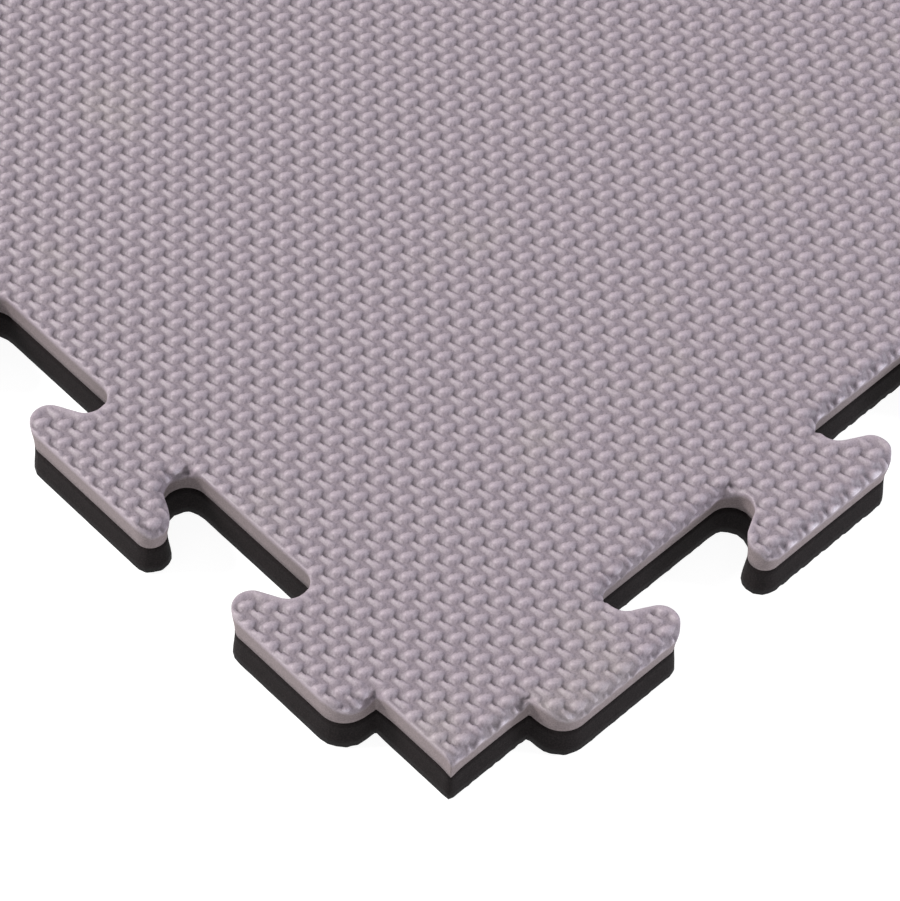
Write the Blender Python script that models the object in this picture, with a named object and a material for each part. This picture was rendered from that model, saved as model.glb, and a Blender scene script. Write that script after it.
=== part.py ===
"""A two by two set of interlocking blocking mats, in metres, +Z up.

Every mat is the same reversible tile: a grey foam layer over a black foam layer. All four
sides follow one curve of dovetail tabs, so that a side of one mat locks into the opposite
side of the next. The origin is on the floor, where the four mats meet.
"""

import math

import bmesh
import bpy
import numpy as np

# Driving dimensions, in metres.
MAT_MODULE = 0.3048  # what one mat adds to the set, from joint line to joint line
TABS_PER_SIDE = 4  # tabs on a side whose corner is free; the opposite side has the slots
CORNER_LENGTH = 0.0249  # straight edge between a square corner and the first tab
TAB_DEPTH = 0.0213  # from the bottom of a slot to the tip of a tab
EAR_OVERHANG = 0.005  # how far a tab's ear passes the middle of its flank
EAR_RADIUS = 0.005  # rounding of an ear and of the slot that takes it
SHOULDER_RADIUS = 0.008  # rounding of the tab next to a square corner, which has no ear
GREY_LAYER = 0.0095  # thickness of the upper foam
BLACK_LAYER = 0.0100  # thickness of the lower foam
MAT_CLEARANCE = 0.0004  # between two mats, all along their joint
BOND_GAP = 0.0003  # between the two layers of a mat

EAR_STEPS = 5  # straight facets round each ear
SHOULDER_STEPS = 3  # and round each shoulder
RADIUS_MARGIN = 0.999  # keeps an ear's two arcs just short of touching

# The mats by name, with how many modules their free corner is from the origin in X and Y.
MATS = {
    "near_mat": (-1, -1),
    "right_mat": (0, -1),
    "left_mat": (-1, 0),
    "far_mat": (0, 0),
}

TAB_PITCH = (MAT_MODULE - 2 * CORNER_LENGTH) / (TABS_PER_SIDE - 0.5)
HALF_DEPTH = TAB_DEPTH / 2


def arc(centre, radius, start, end, steps):
    """Points on a circle from one angle to another, both ends included."""
    angles = np.linspace(start, end, steps + 1)
    return np.array(centre) + radius * np.column_stack((np.cos(angles), np.sin(angles)))


def ear_flank():
    """One dovetail flank, from the tip line of a tab below to the slot bottom above.

    Its middle is at the origin. A circle rounds the ear and an equal one rounds the slot,
    and their common tangent through the middle joins them. The radius is limited where the
    two circles would meet.
    """
    largest = (EAR_OVERHANG + HALF_DEPTH) - math.sqrt(EAR_OVERHANG * TAB_DEPTH)
    radius = min(EAR_RADIUS, largest * RADIUS_MARGIN)
    centre = (EAR_OVERHANG - radius, radius - HALF_DEPTH)
    tangent = math.atan2(centre[1], centre[0]) + math.asin(radius / math.hypot(*centre))
    ear = arc(centre, radius, -math.pi / 2, tangent + math.pi / 2, EAR_STEPS)
    return np.vstack((ear, -ear[::-1]))


def shoulder():
    """The plain flank by a square corner: straight out from the edge, then a quarter round."""
    radius = min(SHOULDER_RADIUS, HALF_DEPTH)
    centre = (radius, radius - HALF_DEPTH)
    quarter = arc(centre, radius, math.pi, 1.5 * math.pi, SHOULDER_STEPS)
    return np.vstack(([0.0, 0.0], quarter))


def mirrored(points):
    """The same flank the other way round, walked from its other end."""
    return points[::-1] * (-1, 1)


def side():
    """The curve of one side from corner to corner along +X, with its tabs towards -Y."""
    flanks = 2 * TABS_PER_SIDE
    pieces = [np.array([[0.0, 0.0]])]
    for i in range(flanks):
        middle = CORNER_LENGTH + i * TAB_PITCH / 2
        if i == 0:
            flank = shoulder()
        elif i == flanks - 1:
            flank = mirrored(shoulder())
        elif i % 2:
            flank = ear_flank()
        else:
            flank = mirrored(ear_flank())
        pieces.append(flank + (middle, 0.0))
    return np.vstack(pieces)


def inset(outline, distance):
    """A closed counterclockwise outline moved inwards, with its corners mitred."""
    along = np.roll(outline, -1, axis=0) - outline
    along /= np.linalg.norm(along, axis=1, keepdims=True)
    after = np.column_stack((-along[:, 1], along[:, 0]))
    before = np.roll(after, 1, axis=0)
    square = 1 + np.sum(before * after, axis=1, keepdims=True)
    return outline + distance * (before + after) / square


def mat_outline():
    """One mat seen from above, its free corner at the origin.

    The sides along X and along Y mirror each other in the mat's diagonal, and each far side
    is the near one moved by a module, so mats laid a module apart fit together.
    """
    along_x = side()
    along_y = along_x[:, ::-1]
    corner = np.array([[MAT_MODULE, MAT_MODULE]])
    right = along_y + (MAT_MODULE, 0)
    top = np.vstack((corner, along_x[:0:-1] + (0, MAT_MODULE)))
    left = np.vstack(([[0.0, MAT_MODULE]], along_y[:0:-1]))
    return inset(np.vstack((along_x, right, top, left)), MAT_CLEARANCE / 2)


def slab(name, outline, bottom, top):
    """A closed mesh: the outline as a face at the bottom, extruded up to the top."""
    bm = bmesh.new()
    face = bm.faces.new([bm.verts.new((x, y, bottom)) for x, y in outline])
    raised = bmesh.ops.extrude_face_region(bm, geom=[face])["geom"]
    upper = [item for item in raised if isinstance(item, bmesh.types.BMVert)]
    bmesh.ops.translate(bm, verts=upper, vec=(0, 0, top - bottom))
    bmesh.ops.recalc_face_normals(bm, faces=bm.faces)
    mesh = bpy.data.meshes.new(name)
    bm.to_mesh(mesh)
    bm.free()
    return mesh


def foam(name, colour, roughness):
    """Closed-cell EVA foam: no metal, and a broad dull shine."""
    material = bpy.data.materials.new(name)
    material.use_nodes = True
    shader = material.node_tree.nodes["Principled BSDF"]
    shader.inputs["Base Color"].default_value = (*colour, 1)
    shader.inputs["Roughness"].default_value = roughness
    shader.inputs["Metallic"].default_value = 0
    return material


def main():
    for old in list(bpy.data.objects):
        bpy.data.objects.remove(old)

    outline = mat_outline()
    bond = BLACK_LAYER
    layers = {
        "grey_layer": slab("grey_layer", outline, bond + BOND_GAP / 2, bond + GREY_LAYER),
        "black_layer": slab("black_layer", outline, 0.0, bond - BOND_GAP / 2),
    }
    layers["grey_layer"].materials.append(foam("grey_eva", (0.36, 0.32, 0.34), 0.55))
    layers["black_layer"].materials.append(foam("black_eva", (0.025, 0.024, 0.026), 0.6))

    for mat, (columns, rows) in MATS.items():
        # An empty at each mat's free corner carries its layers, and slides up with them.
        carrier = bpy.data.objects.new(mat, None)
        carrier.location = (columns * MAT_MODULE, rows * MAT_MODULE, 0)
        bpy.context.collection.objects.link(carrier)
        for layer, mesh in layers.items():
            piece = bpy.data.objects.new(f"{mat}_{layer}", mesh)
            piece.parent = carrier
            bpy.context.collection.objects.link(piece)


main()
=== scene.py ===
import math

import bpy
import numpy as np
from mathutils import Matrix, Vector
from mathutils.geometry import delaunay_2d_cdt


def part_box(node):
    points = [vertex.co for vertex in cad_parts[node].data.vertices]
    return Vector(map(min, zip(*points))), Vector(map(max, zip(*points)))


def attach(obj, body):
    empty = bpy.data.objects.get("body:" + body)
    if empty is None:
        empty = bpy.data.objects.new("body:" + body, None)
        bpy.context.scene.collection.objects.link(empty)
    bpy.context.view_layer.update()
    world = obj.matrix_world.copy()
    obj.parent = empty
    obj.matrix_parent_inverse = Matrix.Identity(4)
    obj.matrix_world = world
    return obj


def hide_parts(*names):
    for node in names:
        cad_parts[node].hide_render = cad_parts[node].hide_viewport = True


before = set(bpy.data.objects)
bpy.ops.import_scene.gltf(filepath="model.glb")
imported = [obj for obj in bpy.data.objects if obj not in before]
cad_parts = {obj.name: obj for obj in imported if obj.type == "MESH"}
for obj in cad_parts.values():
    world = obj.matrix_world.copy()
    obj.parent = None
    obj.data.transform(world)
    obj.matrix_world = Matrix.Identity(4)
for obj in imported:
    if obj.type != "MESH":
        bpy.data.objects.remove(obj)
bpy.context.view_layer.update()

# Lengths in this script are millimetres until a mesh is made, where mm turns them to metres.
mm = 0.001

# Where things are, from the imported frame.
# The set's box reaches half a tab past the outer joint lines, less half the clearance.
mats = ["near_mat", "right_mat", "left_mat", "far_mat"]
cut = {"tabs": 4, "corner": 24.9, "depth": 21.3, "overhang": 5.0, "ear": 5.0, "shoulder": 8.0,
       "clearance": 0.4}
lowGrey, highGrey = [np.array(c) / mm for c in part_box("near_mat_grey_layer")]
highBlack = np.array(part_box("near_mat_black_layer")[1]) / mm
tipReach = cut["depth"] / 2 - cut["clearance"] / 2
module = -(lowGrey[0] + tipReach)
topHeight = highGrey[2]
bondHeight = (lowGrey[2] + highBlack[2]) / 2
matCorner = {"near_mat": (-module, -module), "right_mat": (0, -module),
             "left_mat": (-module, 0), "far_mat": (0, 0)}
print(f"frame: module {module:.2f} mm, {topHeight:.2f} mm thick, "
      f"layers meet at {bondHeight:.2f} mm")


# The camera looks down the free corner's diagonal: its azimuth is from +Y towards +X, its
# elevation is below level, and it aims at a point counted from the corner, in mm.
def makeCamera():
    view = {"azimuth": 45.76, "elevation": 53.86, "roll": 2.71, "distance": 885.6,
            "aim": (69.2, 72.6, 0.0), "lens": 144.0}
    a, e, r = [math.radians(view[k]) for k in ("azimuth", "elevation", "roll")]
    ahead = Vector((math.sin(a) * math.cos(e), math.cos(a) * math.cos(e), -math.sin(e)))
    level = Vector((math.cos(a), -math.sin(a), 0))
    above = level.cross(ahead)
    right = level * math.cos(r) + above * math.sin(r)
    up = above * math.cos(r) - level * math.sin(r)
    aim = Vector(view["aim"]) + Vector((-module, -module, 0))
    place = (aim - ahead * view["distance"]) * mm
    camera = bpy.data.objects.new("camera", bpy.data.cameras.new("camera"))
    camera.data.lens = view["lens"]
    camera.data.sensor_width = 36
    camera.data.sensor_fit = "HORIZONTAL"
    camera.data.clip_start, camera.data.clip_end = 0.05, 50
    turn = Matrix((right, up, -ahead)).transposed()
    camera.matrix_world = Matrix.Translation(place) @ turn.to_4x4()
    bpy.context.collection.objects.link(camera)
    bpy.context.scene.camera = camera


makeCamera()
print("camera placed")


# The outline of one mat is cut with its free corner at the origin, out of the curves below.
# Points on a circle: centre plus radius times cosine and sine of evenly spaced angles.
def arcPoints(centre, radius, start, end, steps):
    t = np.linspace(start, end, steps + 1)
    return np.array(centre) + radius * np.column_stack((np.cos(t), np.sin(t)))


# A dovetail flank: a circle round the ear, an equal one round the slot, and their common
# tangent through the middle. The second half is the first turned half a turn.
def dovetailFlank():
    half, over = cut["depth"] / 2, cut["overhang"]
    radius = min(cut["ear"], 0.999 * (over + half - math.sqrt(over * cut["depth"])))
    centre = (over - radius, radius - half)
    tangent = math.atan2(centre[1], centre[0]) + math.asin(radius / math.hypot(*centre))
    ear = arcPoints(centre, radius, -math.pi / 2, tangent + math.pi / 2, 30)
    return np.vstack((ear, -ear[::-1]))


# The plain flank by a square corner: straight out, then a quarter circle.
def shoulderFlank():
    radius = min(cut["shoulder"], cut["depth"] / 2)
    centre = (radius, radius - cut["depth"] / 2)
    return np.vstack(([0.0, 0.0], arcPoints(centre, radius, math.pi, 1.5 * math.pi, 20)))


# One side along +X with its tabs towards -Y: flanks half a tab pitch apart, every second
# one mirrored, a shoulder first and last.
def sideCurve():
    flanks = 2 * cut["tabs"]
    pitch = (module - 2 * cut["corner"]) / (cut["tabs"] - 0.5)
    flip = np.array((-1.0, 1.0))
    pieces = [np.zeros((1, 2))]
    for i in range(flanks):
        flank = shoulderFlank() if i in (0, flanks - 1) else dovetailFlank()
        if i == flanks - 1 or (i and i % 2 == 0):
            flank = flank[::-1] * flip
        pieces.append(flank + (cut["corner"] + i * pitch / 2, 0))
    return np.vstack(pieces)


# The sides along X and Y mirror each other, and the far sides are the near ones moved by a
# module. The whole is moved inwards by half the clearance along mitred normals.
def matOutline():
    alongX = sideCurve()
    alongY = alongX[:, ::-1]
    loop = np.vstack((alongX, alongY + (module, 0), [[module, module]],
                      alongX[:0:-1] + (0, module), [[0, module]], alongY[:0:-1]))
    ahead = np.roll(loop, -1, axis=0) - loop
    ahead /= np.linalg.norm(ahead, axis=1, keepdims=True)
    after = np.column_stack((-ahead[:, 1], ahead[:, 0]))
    before = np.roll(after, 1, axis=0)
    mitre = (before + after) / (1 + np.sum(before * after, axis=1, keepdims=True))
    return loop + mitre * cut["clearance"] / 2


# Splits every stretch of a closed loop into equal steps no longer than the given one.
def evenSteps(loop, step):
    ahead = np.roll(loop, -1, axis=0) - loop
    parts = np.maximum(1, np.ceil(np.linalg.norm(ahead, axis=1) / step)).astype(int)
    index = np.repeat(np.arange(len(loop)), parts)
    first = np.repeat(np.cumsum(parts) - parts, parts)
    share = (np.arange(len(index)) - first) / parts[index]
    return loop[index] + ahead[index] * share[:, None]


# The embossed pattern is a plain weave of pillows along X and bars along Y. It lies a little
# crooked on the mat. Pitches and heights are in mm, turns in radians, the rest in cells; a
# taper is a share lost from the middle to the end.
weave = {"pitchX": 3.671, "pitchY": 4.024, "turnX": 0.0151, "turnY": 0.0228,
         "startX": 0.292, "startY": 0.347,
         "pillowLong": 0.56, "pillowWide": 0.31, "pillowHigh": 1.00,
         "pillowTaper": 0.22, "pillowSlope": 0.26, "pillowDroop": 0.10,
         "barLong": 0.57, "barWide": 0.20, "barHigh": 0.74,
         "barTaper": 0.30, "barSlope": 0.08, "barLean": 0.12,
         "pitDeep": 0.60, "pitRight": 0.28, "pitUp": 0.32, "pitWide": 0.15, "pitLong": 0.26}

# The pattern's two axes are the columns that turn plan points into it.
turn, skew = weave["turnX"], weave["turnY"]
toPattern = np.array(((math.cos(turn), -math.sin(skew)), (math.sin(turn), math.cos(skew))))
fromPattern = np.linalg.inv(toPattern)


# Plan points as cell counts: distance along each axis over its pitch.
def cellsAt(plan):
    cells = plan @ toPattern / (weave["pitchX"], weave["pitchY"])
    return cells[:, 0] + weave["startX"], cells[:, 1] + weave["startY"]


# Height of the pattern over its floor, in mm, at cell coordinates u along X and v along Y.
# A pillow is an egg: the root of one less its radius squared to the power 1.8, with the blunt,
# high end to the left and the tail drooping to the right. A bar is the root of one less the
# cube of its width share and the fourth power of its length share: thin at its far end, and
# wide and leaning right at its near end. Beside each bar's far half is a pit, a Gaussian.
def embossHeight(u, v):
    row, column = np.round(v), np.round(u)
    along = (np.mod(u - row, 2) - 1) / weave["pillowLong"]
    wide = weave["pillowWide"] * (1 - weave["pillowTaper"] * along)
    radiusSquared = along ** 2 + ((v - row + weave["pillowDroop"] * along) / wide) ** 2
    pillow = np.sqrt(np.clip(1 - radiusSquared ** 1.8, 0, 1)) * (1 - weave["pillowSlope"] * along)
    dv = np.mod(v - column + 1, 2) - 1
    along = dv / weave["barLong"]
    du = u - column + weave["barLean"] * along
    wide = weave["barWide"] * (1 - weave["barTaper"] * along)
    inside = 1 - np.abs(du / wide) ** 3 - np.abs(along) ** 4
    bar = np.sqrt(np.clip(inside, 0, 1)) * (1 - weave["barSlope"] * along)
    pit = np.exp(-((du - weave["pitRight"]) / weave["pitWide"]) ** 2
                 - ((dv - weave["pitUp"]) / weave["pitLong"]) ** 2)
    raised = np.maximum(pillow * weave["pillowHigh"], bar * weave["barHigh"])
    return raised - weave["pitDeep"] * pit * (raised <= 0)


# Distance from each query to a dense closed loop: the least over the two stretches beside
# its nearest point.
def distanceTo(loop, query):
    best = np.empty(len(query), int)
    for start in range(0, len(query), 4000):
        q = query[start:start + 4000]
        best[start:start + 4000] = np.argmin(
            (q[:, :1] - loop[:, 0]) ** 2 + (q[:, 1:] - loop[:, 1]) ** 2, axis=1)
    found = []
    for first in (best - 1, best):
        a = loop[first % len(loop)]
        ab = loop[(first + 1) % len(loop)] - a
        t = np.clip(np.sum((query - a) * ab, axis=1) / np.sum(ab * ab, axis=1), 0, 1)
        found.append(np.linalg.norm(query - a - ab * t[:, None], axis=1))
    return np.minimum(*found)


# Point at each place along a closed loop, a place being an index and a share of the step.
def pointAt(loop, place):
    first = np.floor(place).astype(int)
    share = (place - first)[:, None]
    return loop[first % len(loop)] * (1 - share) + loop[(first + 1) % len(loop)] * share


# Where a loop in grid units crosses the whole-number lines of one axis: the line, how far
# along it, and the place on the loop.
def lineCrossings(local, axis):
    after = np.roll(local, -1, axis=0)
    low, high = np.floor(local[:, axis]), np.floor(after[:, axis])
    found = np.flatnonzero(low != high)
    line = np.maximum(low, high)[found]
    a, b = local[found], after[found]
    t = (line - a[:, axis]) / (b[:, axis] - a[:, axis])
    along = a[:, 1 - axis] + t * (b[:, 1 - axis] - a[:, 1 - axis])
    return line.astype(int), along, found + t


# Which polygon each of the sixteen ways of being partly inside makes: 0 to 3 are a square's
# corners, 4 to 7 the cuts on its sides, counterclockwise from the low left.
cornerCases = {
    1: [(0, 4, 7)], 2: [(1, 5, 4)], 3: [(0, 1, 5, 7)], 4: [(2, 6, 5)],
    5: [(0, 4, 7), (2, 6, 5)], 6: [(1, 2, 6, 4)], 7: [(0, 1, 2, 6, 7)], 8: [(3, 7, 6)],
    9: [(0, 4, 6, 3)], 10: [(1, 5, 4), (3, 7, 6)], 11: [(0, 1, 5, 6, 3)], 12: [(2, 3, 7, 5)],
    13: [(0, 4, 5, 2, 3)], 14: [(1, 2, 3, 7, 4)], 15: [(0, 1, 2, 3)],
}


# A grid over the outline, finer than the pattern's cells by whole numbers, whose squares are
# kept, cut or dropped. Gives plan points, faces by size, the rim's directed edges and places
# on the loop, and each point's distance inside the edge.
def clippedGrid(loop, perCellX, perCellY, band):
    turned = loop @ toPattern
    step = np.array((weave["pitchX"] / perCellX, weave["pitchY"] / perCellY))
    offset = np.array((weave["startX"] * weave["pitchX"], weave["startY"] * weave["pitchY"]))
    base = np.floor((turned.min(axis=0) + offset) / step) - 1
    origin = base * step - offset
    local = (turned - origin) / step
    columns, rows = (np.ceil(local.max(axis=0)) + 2).astype(int)
    # A point is inside if an odd number of crossings lies to its left in its row.
    row, x, place = lineCrossings(local, 1)
    toggles = np.zeros((rows, columns), int)
    np.add.at(toggles, (row, np.ceil(x).astype(int)), 1)
    inside = np.cumsum(toggles, axis=1) % 2 == 1
    acrossPlace = np.zeros((rows, columns))
    acrossPlace[row, np.floor(x).astype(int)] = place
    column, y, place = lineCrossings(local, 0)
    upwardPlace = np.zeros((rows, columns))
    upwardPlace[np.floor(y).astype(int), column] = place

    gridX, gridY = np.meshgrid(np.arange(columns), np.arange(rows))
    plan = (np.column_stack((gridX.ravel(), gridY.ravel())) * step + origin) @ fromPattern
    # Only points near the rim need their true distance: those in a block that the loop visits.
    block = np.floor((plan - plan.min(axis=0)) / band).astype(int)
    visited = np.zeros(block.max(axis=0) + 3, bool)
    seen = np.floor((loop - plan.min(axis=0)) / band).astype(int) + 1
    for dx in (-1, 0, 1):
        for dy in (-1, 0, 1):
            visited[seen[:, 0] + dx, seen[:, 1] + dy] = True
    near = visited[block[:, 0] + 1, block[:, 1] + 1] & inside.ravel()
    depth = np.full(len(plan), 4 * band)
    depth[near] = distanceTo(loop, plan[near])

    # Cuts: where the rim crosses a grid line between a point inside and one outside.
    index = np.arange(rows * columns).reshape(rows, columns)
    across = inside[:, :-1] != inside[:, 1:]
    upward = inside[:-1] != inside[1:]
    rimPlace = np.concatenate((acrossPlace[:, :-1][across], upwardPlace[:-1][upward]))
    rim = pointAt(loop, rimPlace)
    cutIds = rows * columns + np.arange(len(rim))
    acrossIds = np.full(across.shape, -1)
    acrossIds[across] = cutIds[:across.sum()]
    upwardIds = np.full(upward.shape, -1)
    upwardIds[upward] = cutIds[across.sum():]

    corners = np.stack((index[:-1, :-1], index[:-1, 1:], index[1:, 1:], index[1:, :-1],
                        acrossIds[:-1], upwardIds[:, 1:], acrossIds[1:], upwardIds[:, :-1]), -1)
    flags = np.stack((inside[:-1, :-1], inside[:-1, 1:], inside[1:, 1:], inside[1:, :-1]), -1)
    code = flags @ np.array((1, 2, 4, 8))
    faces, edges = {3: [], 4: [], 5: []}, []
    for case, shapes in cornerCases.items():
        cells = corners[code == case]
        for shape in shapes:
            faces[len(shape)].append(cells[:, shape])
            ring = shape + shape[:1]
            edges += [cells[:, (p, q)] for p, q in zip(ring, ring[1:]) if p > 3 and q > 3]
    faces = {size: np.vstack(found) for size, found in faces.items() if found}
    edges = np.vstack(edges)

    # Only the points in use are kept, the rim's last.
    used = np.flatnonzero(inside.ravel())
    newIds = np.full(rows * columns + len(rim), -1)
    newIds[used] = np.arange(len(used))
    newIds[cutIds] = len(used) + np.arange(len(rim))
    return {
        "plan": np.vstack((plan[used], rim)),
        "inner": len(used),
        "faces": {size: newIds[found] for size, found in faces.items()},
        "edges": newIds[edges],
        "depth": np.concatenate((depth[used], np.zeros(len(rim)))),
        "place": rimPlace,
    }


# How the die leaves the edges, in mm. On top, those that face -Y are dragged down and keep
# their pattern; the others are only slightly rounded, and towards them the pattern gives way,
# by loss as a share, to a smooth strip at one level. The strip is wider and higher, and the
# rounding less, at edges that face +X or +Y. The underside is pressed flatter, by relief.
topEdge = {"roundWide": 1.2, "roundDeep": 0.5, "dragWide": 2.8, "dragDeep": 3.0,
           "fade": 1.2, "loss": 0.95, "level": 0.6, "relief": 1.0}
underEdge = {"roundWide": 0.5, "roundDeep": 0.2, "dragWide": 0.5, "dragDeep": 0.2,
             "fade": 0.8, "loss": 0.85, "level": 1.0, "relief": 0.6}
backEdge = {"fadeMore": 0.8, "levelMore": 0.3, "deepLess": 0.6}


# Rises from 0 to 1 between low and high: three times the square less twice the cube.
def smoothShare(low, high, x):
    t = np.clip((x - low) / (high - low), 0, 1)
    return t * t * (3 - 2 * t)


# Outward direction of the rim around each point, averaged over a few millimetres so it turns
# smoothly at corners: rim normals dropped on a raster, blurred by running means, and read back.
def softNormals(loop, plan):
    rasterStep, margin, blur = 0.5, 8, 4
    ahead = np.roll(loop, -1, axis=0) - np.roll(loop, 1, axis=0)
    size = np.linalg.norm(ahead, axis=1, keepdims=True)
    values = np.column_stack((ahead[:, 1], -ahead[:, 0], size[:, 0]))
    low = loop.min(axis=0) - margin
    shape = np.ceil((loop.max(axis=0) + margin - low) / rasterStep).astype(int)
    raster = np.zeros((*shape, 3))
    spot = ((loop - low) / rasterStep).astype(int)
    np.add.at(raster, (spot[:, 0], spot[:, 1]), values)
    for _ in range(3):
        for axis in (0, 1):
            total = np.cumsum(raster, axis=axis)
            raster = (np.roll(total, -blur, axis) - np.roll(total, blur, axis)) / (2 * blur)
    spot = np.clip((plan - low) / rasterStep - 0.5, 0, shape - 2)
    i, j = np.floor(spot).astype(int).T
    di, dj = (spot - np.floor(spot)).T[:, :, None]
    found = ((raster[i, j] * (1 - di) + raster[i + 1, j] * di) * (1 - dj)
             + (raster[i, j + 1] * (1 - di) + raster[i + 1, j + 1] * di) * dj)
    return found[:, :2] / np.maximum(np.abs(found[:, 2:]), 1e-6)


# The rounded rim near each point: its outward direction, how far it is dragged, how wide and
# deep its parabola is, how sharply that bends, and the parabola's length.
def rimProfile(loop, plan, edge):
    soft = softNormals(loop, plan)
    pull = smoothShare(0.15, 0.8, -soft[:, 1])
    wide = edge["roundWide"] + (edge["dragWide"] - edge["roundWide"]) * pull
    deep = edge["roundDeep"] + (edge["dragDeep"] - edge["roundDeep"]) * pull
    deep = deep * (1 - backEdge["deepLess"] * smoothShare(0, 0.5, soft.sum(axis=1)))
    outward = soft / np.maximum(np.linalg.norm(soft, axis=1, keepdims=True), 0.2)
    bend = 2 * deep / wide ** 2
    return outward, pull, wide, deep, bend, parabolaLength(wide, bend)


# Length of a parabola from its top to a distance out, from its closed form.
def parabolaLength(out, bend):
    slope = bend * out
    return (out * np.sqrt(1 + slope * slope) + np.arcsinh(slope) / bend) / 2


# The skin lies flat on its own, wider outline, is gridded there and then rolled down over the
# rim: a point's length from the roll's start gives its distance out by Newton's steps.
def rolledSkin(loop, perCellX, perCellY, edge):
    outward, _, wide, _, _, length = rimProfile(loop, loop, edge)
    flatLoop = loop + outward * (length - wide)[:, None]
    grid = clippedGrid(flatLoop, perCellX, perCellY, 7.0)
    outward, pull, wide, deep, bend, length = rimProfile(loop, grid["plan"], edge)
    laid = np.clip(length - grid["depth"], 0, None)
    out = laid.copy()
    for _ in range(5):
        out -= (parabolaLength(out, bend) - laid) / np.sqrt(1 + (bend * out) ** 2)
    slope = bend * out
    lean = 1 / np.sqrt(1 + slope * slope)
    full = weave["pillowHigh"] * 1.2  # room for a pillow's blunt end, which stands highest
    back = smoothShare(-0.2, 0.5, outward.sum(axis=1))
    fade = edge["fade"] * (1 + backEdge["fadeMore"] * back)
    lost = (1 - pull) * edge["loss"] * (1 - smoothShare(0, fade, grid["depth"]))
    level = edge["level"] + backEdge["levelMore"] * back
    high = embossHeight(*cellsAt(grid["plan"])) * (1 - lost) + level * lost
    # raised also drives the skin's painted shade: the low colour in the hollows, the high one on
    # the tops.
    raised = (high + weave["pitDeep"]) / (full + weave["pitDeep"])
    full, high = full * edge["relief"], high * edge["relief"]
    # The pattern stands square to the skin.
    stand = high * slope * lean * smoothShare(0, 1.2, grid["depth"])
    plan = grid["plan"] - outward * (laid - out - stand)[:, None]
    drop = deep * (out / wide) ** 2 + full - high * lean
    # The rim itself keeps to the cut outline.
    inner = grid["inner"]
    plan[inner:] = pointAt(loop, grid["place"])
    dragged = pull * (1 - lean) * smoothShare(0, 1.0, grid["depth"])
    grid.update({"plan": plan, "drop": drop, "raised": raised, "dragged": dragged,
                 "place": grid["place"] / len(loop)})
    return grid


# The cut wall: how far it is drawn in at the bond, in mm, and its rows of faces.
cutWall = {"waist": 0.75, "rows": 4}


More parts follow.
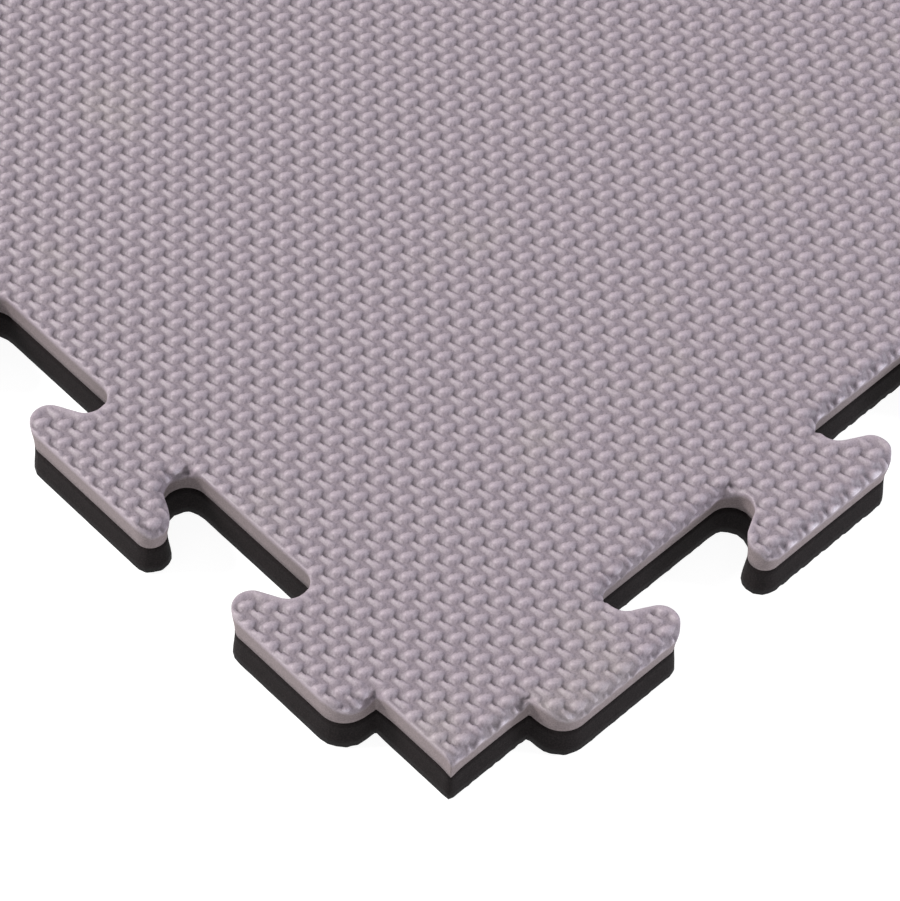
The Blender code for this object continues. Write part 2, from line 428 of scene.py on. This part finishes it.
# One closed layer: the embossed face, a wall drawn in towards the bond by a power of a sine,
# and a flat bond face. up is 1 for the grey layer and -1 for the black one, which is embossed
# underneath.
def foamLayer(name, loop, grid, up, faceHeight, bondLevel):
    inner, rim = grid["inner"], grid["plan"][grid["inner"]:]
    faceZ = faceHeight - up * grid["drop"]
    points = [np.column_stack((grid["plan"], faceZ))]
    rowCount = cutWall["rows"]
    inwards = -softNormals(loop, rim)
    for k in range(1, rowCount + 1):
        share = k / rowCount
        z = faceZ[inner:] * (1 - share) + bondLevel * share
        draw = cutWall["waist"] * np.sin(share * math.pi / 2) ** 1.5
        points.append(np.column_stack((rim + inwards * draw, z)))
    points = np.vstack(points)

    count = len(rim)
    a, b = grid["edges"][:, 0], grid["edges"][:, 1]
    walls = []
    for k in range(rowCount):
        stepA = inner + (a - inner) + k * count
        stepB = inner + (b - inner) + k * count
        walls.append(np.column_stack((stepB, stepA, stepA + count, stepB + count)))
    # The bond face is flat: triangles between the wall's last points, inside their edges.
    last = [Vector(p) for p in points[-count:, :2]]
    edges = [(int(p), int(q)) for p, q in zip(a - inner, b - inner)]
    spots, _, triangles, kept, _, _ = delaunay_2d_cdt(last, edges, [], 1, 1e-7)
    # A point made where two edges cross is taken for the wall's nearest one.
    own = np.array([found[0] if found else -1 for found in kept])
    for i in np.flatnonzero(own < 0):
        own[i] = np.argmin([(spot - spots[i]).length for spot in last])
    bond = own[np.array(triangles)][:, ::-1]
    bond = bond[(bond != np.roll(bond, 1, axis=1)).all(axis=1)] + inner + rowCount * count

    # The UV map: the face seen from above, low on the left; the walls in strips above it; the
    # bond face small beside it.
    uvSpan, uvMargin = max(np.ptp(grid["plan"], axis=0)) * 1.28, 0.004
    strips, stripTall, stripsFrom, stripMargin = 8, 0.025, 0.80, 0.02
    flatUv = (points[:, :2] - grid["plan"].min(axis=0)) / uvSpan + uvMargin
    faces, uvs = [], []
    for size, found in grid["faces"].items():
        faces.append(found)
        uvs.append(flatUv[found])
    place = grid["place"]
    start, end = place[a - inner], place[b - inner]
    end = end - np.round(end - start)
    strip = np.floor(np.clip(start, 0, 0.99999) * strips)
    left = (start * strips - strip) * (1 - 2 * stripMargin) + stripMargin
    right = (end * strips - strip) * (1 - 2 * stripMargin) + stripMargin
    low = stripsFrom + strip * stripTall + uvMargin / 2
    for k, band in enumerate(walls):
        bottom = low + (stripTall - uvMargin) * k / rowCount
        top = low + (stripTall - uvMargin) * (k + 1) / rowCount
        faces.append(band)
        uvs.append(np.stack((np.column_stack((right, bottom)), np.column_stack((left, bottom)),
                             np.column_stack((left, top)), np.column_stack((right, top))), 1))
    faces.append(bond)
    uvs.append(flatUv[bond] * 0.18 + (0.81, 0.02))
    if up < 0:
        faces = [found[:, ::-1] for found in faces]
        uvs = [found[:, ::-1] for found in uvs]

    mesh = bpy.data.meshes.new(name)
    mesh.vertices.add(len(points))
    mesh.vertices.foreach_set("co", (points * mm).astype(np.float32).ravel())
    sizes = np.concatenate([np.full(len(found), found.shape[1]) for found in faces])
    mesh.loops.add(int(sizes.sum()))
    mesh.loops.foreach_set("vertex_index", np.concatenate([f.ravel() for f in faces]))
    mesh.polygons.add(len(sizes))
    mesh.polygons.foreach_set("loop_start", np.cumsum(sizes) - sizes)
    smooth = np.ones(len(sizes), bool)
    smooth[-len(bond):] = False
    mesh.polygons.foreach_set("use_smooth", smooth)
    layer = mesh.uv_layers.new(name="UVMap")
    layer.uv.foreach_set("vector", np.concatenate([u.reshape(-1, 2) for u in uvs]).ravel())
    # How far a point is down the cut wall, how high it stands in the pattern, and how far the
    # die has dragged it.
    wallShare = np.zeros(len(points))
    wallShare[inner:] = np.repeat(np.arange(rowCount + 1) / rowCount, count)
    mesh.attributes.new("wall", "FLOAT", "POINT").data.foreach_set("value", wallShare)
    wallPoints = len(points) - len(grid["raised"])
    raised = np.concatenate((grid["raised"], np.full(wallPoints, 0.5)))
    mesh.attributes.new("raised", "FLOAT", "POINT").data.foreach_set("value", raised)
    dragged = np.concatenate((grid["dragged"], np.zeros(wallPoints)))
    mesh.attributes.new("dragged", "FLOAT", "POINT").data.foreach_set("value", dragged)
    mesh.update(calc_edges=True)
    mesh.validate()
    return mesh


# An sRGB hex colour as linear light, by the standard curve.
def linear(hexColour):
    srgb = [int(hexColour[i:i + 2], 16) / 255 for i in (1, 3, 5)]
    return [x / 12.92 if x <= 0.04045 else ((x + 0.055) / 1.055) ** 2.4 for x in srgb] + [1]


# Adds a node, sets its properties and sockets, and links its inputs. A socket is named by
# its label or its number.
def addNode(tree, kind, props=None, sockets=None, links=None):
    node = tree.nodes.new(kind)
    for key, value in (props or {}).items():
        setattr(node, key, value)
    for key, value in (sockets or {}).items():
        node.inputs[key].default_value = value
    for key, source in (links or {}).items():
        tree.links.new(source, node.inputs[key])
    return node


# Closed-cell EVA foam sheet, hot-pressed with an embossed skin, then die-cut. The skin is
# semi-matt with a fine mottling and faint stains from handling, with painted shade that
# darkens the pattern's hollows and lightens its tops, and is shinier where the die has dragged
# it over the edge, where a painted highlight also makes it paler; the cut wall is duller and a
# little warmer. Real cells are about 0.15 mm, and are drawn at about 0.4 mm to show at all.
def evaFoam(name, look):
    material = bpy.data.materials.new(name)
    material.use_nodes = True
    tree = material.node_tree
    shader = tree.nodes["Principled BSDF"]
    shader.inputs["IOR"].default_value = 1.48
    place = addNode(tree, "ShaderNodeTexCoord").outputs["Object"]
    wall, raised, dragged = [
        addNode(tree, "ShaderNodeAttribute", {"attribute_name": own}).outputs["Fac"]
        for own in ("wall", "raised", "dragged")]
    onWall = addNode(tree, "ShaderNodeMapRange", None, {"From Min": 0.0, "From Max": 0.25},
                     {"Value": wall}).outputs[0]
    cells, stains, grain = [
        addNode(tree, "ShaderNodeTexNoise", None,
                {"Scale": 1 / (size * mm), "Detail": detail, "Roughness": roughness},
                {"Vector": place}).outputs["Fac"]
        for size, detail, roughness in ((0.4, 2.0, 0.6), (38, 3.0, 0.55), (0.9, 4.0, 0.65))]

    # Colour: painted shade from the pattern's floor, darkest, to its top, lightest; then stains,
    # a painted highlight on the dragged rim, and the cut wall over it.
    stainMask = addNode(tree, "ShaderNodeMapRange", None,
                        {"From Min": 0.56, "From Max": 0.74, "To Max": look["stainShare"]},
                        {"Value": stains}).outputs[0]
    # Painted shade: the skin runs from a darker colour in the pattern's hollows to a lighter one
    # on its tops.
    skinWithPaintedShade = addNode(tree, "ShaderNodeMix", {"data_type": "RGBA"},
                   {6: linear(look["low"]), 7: linear(look["high"])},
                   {0: raised}).outputs[2]
    stained = addNode(tree, "ShaderNodeMix", {"data_type": "RGBA"},
                      {7: linear(look["stain"])}, {0: stainMask, 6: skinWithPaintedShade}).outputs[2]
    # Painted highlight: the raised tops of the dragged rim are coloured paler, as if lit; the
    # same mask also lowers their roughness.
    draggedTops = addNode(tree, "ShaderNodeMath", {"operation": "MULTIPLY"}, None,
                          {0: dragged, 1: raised}).outputs[0]
    paintedRimHighlight = addNode(tree, "ShaderNodeMapRange", None,
                        {"From Min": 0.25, "From Max": 0.50},
                        {"Value": draggedTops}).outputs[0]
    wholeSkin = addNode(tree, "ShaderNodeMix", {"data_type": "RGBA"},
                        {7: linear(look["paintedRimHighlight"])}, {0: paintedRimHighlight, 6: stained}).outputs[2]
    cutFace = addNode(tree, "ShaderNodeMix", {"data_type": "RGBA"},
                      {6: linear(look["wallDark"]), 7: linear(look["wallLight"])},
                      {0: cells}).outputs[2]
    colour = addNode(tree, "ShaderNodeMix", {"data_type": "RGBA"}, None,
                     {0: onWall, 6: wholeSkin, 7: cutFace}).outputs[2]
    mottle = addNode(tree, "ShaderNodeMapRange", None,
                     {"From Min": 0.35, "From Max": 0.65, "To Min": 1 - look["mottle"],
                      "To Max": 1 + look["mottle"]}, {"Value": cells}).outputs[0]
    mottled = addNode(tree, "ShaderNodeHueSaturation", None, None,
                      {"Color": colour, "Value": mottle}).outputs[0]
    tree.links.new(mottled, shader.inputs["Base Color"])

    # Gloss: the skin shines more than the wall, and the dragged rim most, under the same mask as
    # its painted highlight.
    rough = addNode(tree, "ShaderNodeMapRange", None,
                    {"To Min": look["roughSkin"], "To Max": look["roughWall"]},
                    {"Value": onWall}).outputs[0]
    roughness = addNode(tree, "ShaderNodeMix", {"data_type": "FLOAT"},
                        {3: look["roughBurnished"]}, {0: paintedRimHighlight, 2: rough}).outputs[0]
    tree.links.new(roughness, shader.inputs["Roughness"])
    shine = addNode(tree, "ShaderNodeMapRange", None,
                    {"To Min": look["shineSkin"], "To Max": look["shineWall"]},
                    {"Value": onWall}).outputs[0]
    tree.links.new(shine, shader.inputs["Specular IOR Level"])
    unevenness = addNode(tree, "ShaderNodeMath", {"operation": "ADD"}, None,
                         {0: grain, 1: cells}).outputs[0]
    bump = addNode(tree, "ShaderNodeBump", None,
                   {"Strength": look["bump"], "Distance": 0.12 * mm}, {"Height": unevenness})
    tree.links.new(bump.outputs[0], shader.inputs["Normal"])
    return material


# In each look, low and high are painted shade: the pattern's floor is coloured darker and its
# tops lighter, as its hollows and crests fall in shade and light. The colour for the dragged rim
# is a painted highlight, paler than the skin.
greyLook = {"low": "#70676E", "high": "#ACA0A9", "stain": "#A09A90", "stainShare": 0.25,
            "paintedRimHighlight": "#D8D0DA", "wallDark": "#756A6B", "wallLight": "#897E80",
            "roughSkin": 0.5, "roughBurnished": 0.34, "roughWall": 0.75,
            "shineSkin": 0.5, "shineWall": 0.2, "bump": 0.5, "mottle": 0.12}
blackLook = {"low": "#0B0A0B", "high": "#121112", "stain": "#171312", "stainShare": 0.5,
             "paintedRimHighlight": "#161516", "wallDark": "#0A0808", "wallLight": "#251F20",
             "roughSkin": 0.7, "roughBurnished": 0.6, "roughWall": 0.8,
             "shineSkin": 0.12, "shineWall": 0.12, "bump": 0.5, "mottle": 0.3}
greyFoam = evaFoam("grey_eva_foam", greyLook)
blackFoam = evaFoam("black_eva_foam", blackLook)
print("materials ready")


# The four mats. The near one, seen close, has the finest grid.
outline = evenSteps(matOutline(), 0.35)
nearFace = rolledSkin(outline, 8, 7, topEdge)
face = rolledSkin(outline, 5, 4, topEdge)
under = rolledSkin(outline, 3, 2, underEdge)
print(f"skins: {len(nearFace['plan'])} and {len(face['plan'])} points above, "
      f"{len(under['plan'])} below")
hairline = 0.02  # between the bonded layers, which touch on the real mat
greyBond, blackBond = bondHeight + hairline / 2, bondHeight - hairline / 2
layers = {
    "grey": (foamLayer("grey_layer", outline, face, 1, topHeight, greyBond), greyFoam),
    "black": (foamLayer("black_layer", outline, under, -1, 0.0, blackBond), blackFoam),
}
nearGrey = foamLayer("near_grey_layer", outline, nearFace, 1, topHeight, greyBond)
for colour, (mesh, material) in layers.items():
    for mat in mats:
        own = (nearGrey if (mat, colour) == ("near_mat", "grey") else mesh).copy()
        own.materials.append(material)
        own.transform(Matrix.Translation(Vector((*matCorner[mat], 0)) * mm))
        piece = bpy.data.objects.new(f"{mat}_{colour}_foam", own)
        bpy.context.collection.objects.link(piece)
        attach(piece, mat)
        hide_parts(f"{mat}_{colour}_layer")
    print(f"{colour} layers made")


# Floor and light: a white paper sweep that glows a little, and soft studio lamps.
def makeStage():
    floorLook = {"size": 30, "colour": "#8C8C8C", "glow": 0.92, "rough": 0.9, "below": 0.05}
    half = floorLook["size"] / 2
    mesh = bpy.data.meshes.new("floor")
    mesh.from_pydata([(-half, -half, 0), (half, -half, 0), (half, half, 0), (-half, half, 0)],
                     [], [(0, 1, 2, 3)])
    floor = bpy.data.objects.new("floor", mesh)
    floor.location.z = -floorLook["below"] * mm
    bpy.context.collection.objects.link(floor)
    paper = bpy.data.materials.new("white_paper_sweep")
    paper.use_nodes = True
    shader = paper.node_tree.nodes["Principled BSDF"]
    shader.inputs["Base Color"].default_value = linear(floorLook["colour"])
    shader.inputs["Roughness"].default_value = floorLook["rough"]
    shader.inputs["Emission Color"].default_value = (1, 1, 1, 1)
    shader.inputs["Emission Strength"].default_value = floorLook["glow"]
    mesh.materials.append(paper)

    world = bpy.data.worlds.new("studio")
    world.use_nodes = True
    studioLight = {"tint": "#F6F6F8", "strength": 0.43}
    background = world.node_tree.nodes["Background"]
    background.inputs["Color"].default_value = linear(studioLight["tint"])
    background.inputs["Strength"].default_value = studioLight["strength"]
    bpy.context.scene.world = world
    bpy.context.scene.view_settings.view_transform = "Standard"

    # direction the light comes from, its elevation, distance, size in metres, watts and tint
    lamps = {
        "key": {"from": (-0.72, 0.69), "elevation": 42, "away": 5.0, "size": 1.1,
                "watts": 287, "tint": "#FFFCFA"},
        "fill": {"from": (0.42, -0.90), "elevation": 20, "away": 1.5, "size": 0.25,
                 "watts": 11, "tint": "#F4F5FF"},
    }
    for name, lamp in lamps.items():
        data = bpy.data.lights.new(name, "AREA")
        data.size = lamp["size"]
        data.energy = lamp["watts"]
        data.color = linear(lamp["tint"])[:3]
        e = math.radians(lamp["elevation"])
        flat = Vector(lamp["from"]).normalized() * math.cos(e)
        toward = Vector((flat.x, flat.y, math.sin(e)))
        light = bpy.data.objects.new(name, data)
        light.location = toward * lamp["away"]
        light.rotation_euler = toward.to_track_quat("Z", "Y").to_euler()
        light.visible_camera = False
        bpy.context.collection.objects.link(light)


makeStage()
print("stage set")
